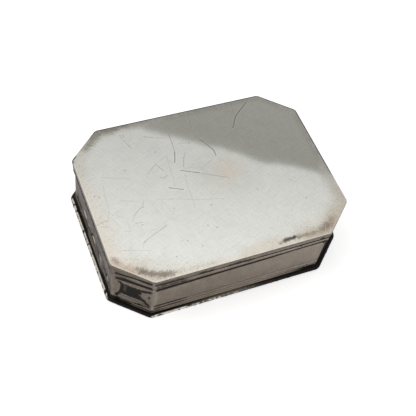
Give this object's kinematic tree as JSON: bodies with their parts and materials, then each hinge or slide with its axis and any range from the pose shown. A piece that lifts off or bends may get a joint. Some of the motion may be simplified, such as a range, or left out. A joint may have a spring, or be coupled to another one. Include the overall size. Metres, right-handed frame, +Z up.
{
  "type": "hinged silver table box with cut corners",
  "caption": "Flat octagonal silver box lying on its hinged lid, with a plain base plate on top, a moulding under its edge and a knuckle hinge along the back.",
  "frame": {"origin": "on the table surface under the middle of the box, in the pose of the picture: the box lies on its lid, so z = 0 is the lid's outer face", "axes": "+X along the box's length and along its hinge, +Y from the visible long wall to the hinge at the back, +Z up, from the lid to the plain base plate"},
  "size_m": [0.084, 0.0634, 0.022],
  "materials": {
    "plain_silver": "polished silver sheet, scratched by use",
    "worn_silver": "drawn and cast silver, rubbed bright on its high edges",
    "darkened_silver": "silver darkened by tarnish",
    "gilt_silver": "silver gilt inside",
    "hinge_silver": "drawn silver tube"
  },
  "bodies": {
    "lid": {"lid_plate": "worn_silver", "lid_border": "worn_silver", "lid_bezel": "gilt_silver", "lid_bearer": "worn_silver", "lid_knuckle_1": "hinge_silver", "lid_knuckle_2": "hinge_silver", "lid_knuckle_3": "hinge_silver", "lid_knuckle_4": "hinge_silver"},
    "box": {"base_plate": "plain_silver", "base_moulding": "worn_silver", "wall_band": "darkened_silver", "body_bearer": "gilt_silver", "box_knuckle_1": "hinge_silver", "box_knuckle_2": "hinge_silver", "box_knuckle_3": "hinge_silver", "box_knuckle_4": "hinge_silver", "box_knuckle_5": "hinge_silver", "hinge_pin": "hinge_silver", "pin_plug_left": "hinge_silver", "pin_plug_right": "hinge_silver"}
  },
  "joints": [
    {"name": "lid_hinge", "type": "hinge", "parent": "lid", "child": "box", "pos_m": [0, 0.03, 0.00282], "axis": [-1, 0, 0], "range_deg": [0, 95]}
  ]
}
